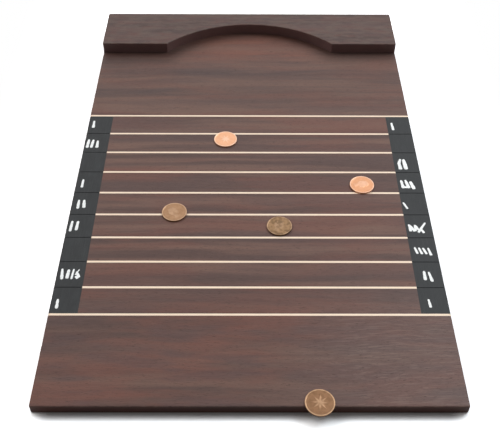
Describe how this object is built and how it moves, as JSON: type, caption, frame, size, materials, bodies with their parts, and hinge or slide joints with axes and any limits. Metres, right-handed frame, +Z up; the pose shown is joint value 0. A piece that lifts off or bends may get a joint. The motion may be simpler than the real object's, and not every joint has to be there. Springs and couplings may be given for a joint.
{
  "type": "shove halfpenny board",
  "caption": "Flat hardwood shove halfpenny board with inlaid pale lines, black score strips along the sides, an arched stop at the far end and bronze coins that slide",
  "frame": {"origin": "centre of the board's underside, on the surface that it rests on", "axes": "+X to the player's right, +Y away from the player towards the stop, +Z up"},
  "size_m": [0.3682, 0.5864, 0.0222],
  "materials": {
    "hardwood": "satin, dark red-brown ribbon grain",
    "line_inlay": "satin, pale cream",
    "blackboard_paint": "matt black",
    "screw_steel": "plain",
    "bright_bronze": "bright, lightly worn",
    "brown_bronze": "brown patina, worn high spots"
  },
  "bodies": {
    "board": {"playing_board": "hardwood", "bed_line_01": "line_inlay", "bed_line_02": "line_inlay", "bed_line_03": "line_inlay", "bed_line_04": "line_inlay", "bed_line_05": "line_inlay", "bed_line_06": "line_inlay", "bed_line_07": "line_inlay", "bed_line_08": "line_inlay", "bed_line_09": "line_inlay", "bed_line_10": "line_inlay", "score_strip_left": "blackboard_paint", "score_strip_right": "blackboard_paint", "arched_stop": "hardwood", "stop_screws": "screw_steel"},
    "halfpenny_1_body": {"halfpenny_1": "bright_bronze"},
    "halfpenny_2_body": {"halfpenny_2": "bright_bronze"},
    "halfpenny_3_body": {"halfpenny_3": "brown_bronze"},
    "halfpenny_4_body": {"halfpenny_4": "brown_bronze"},
    "halfpenny_5_body": {"halfpenny_5": "brown_bronze"}
  },
  "joints": [
    {"name": "halfpenny_1_shove", "type": "slide", "parent": "board", "child": "halfpenny_1_body", "axis": [0, 1, 0], "range_m": [-0.3354, 0.1969]},
    {"name": "halfpenny_2_shove", "type": "slide", "parent": "board", "child": "halfpenny_2_body", "axis": [0, 1, 0], "range_m": [-0.2622, 0.2295]},
    {"name": "halfpenny_3_shove", "type": "slide", "parent": "board", "child": "halfpenny_3_body", "axis": [0, 1, 0], "range_m": [-0.2214, 0.289]},
    {"name": "halfpenny_4_shove", "type": "slide", "parent": "board", "child": "halfpenny_4_body", "axis": [0, 1, 0], "range_m": [-0.2022, 0.3294]},
    {"name": "halfpenny_5_shove", "type": "slide", "parent": "board", "child": "halfpenny_5_body", "axis": [0, 1, 0], "range_m": [0, 0.5214]}
  ]
}
